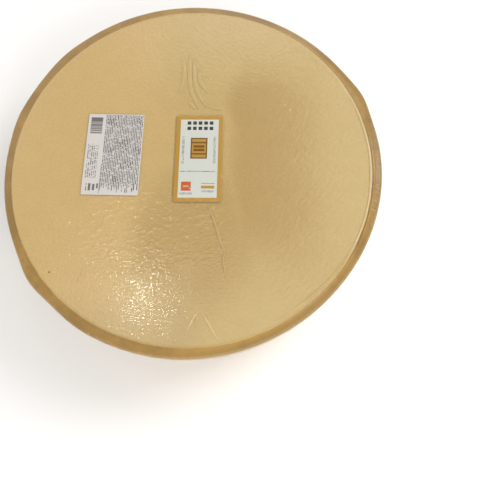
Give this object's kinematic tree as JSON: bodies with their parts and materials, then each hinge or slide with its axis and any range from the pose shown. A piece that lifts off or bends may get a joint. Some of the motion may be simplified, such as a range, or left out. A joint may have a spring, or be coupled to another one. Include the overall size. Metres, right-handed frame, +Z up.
{
  "type": "half wheel of grana cheese",
  "caption": "Level-cut half of a large hard cheese wheel, cut face up, vacuum packed in clear clinging film, with a gold-edged label and a weight label on the cut face.",
  "frame": {"origin": "on the flat end that the half rests on, under the middle of its outline", "axes": "+Z up out of the cut face; +Y along the gold-edged label, towards its top; +X to the right of that, away from the weight label"},
  "size_m": [0.43, 0.43, 0.1112],
  "materials": {
    "packed_cheese": "pale straw paste and tan rind under glossy clear film",
    "label_card": "satin printed card with a gold edge",
    "label_paper": "matt white thermal paper"
  },
  "bodies": {
    "root": {"packed_half_wheel": "packed_cheese", "gold_edged_label": "label_card", "weight_label": "label_paper"}
  },
  "joints": []
}
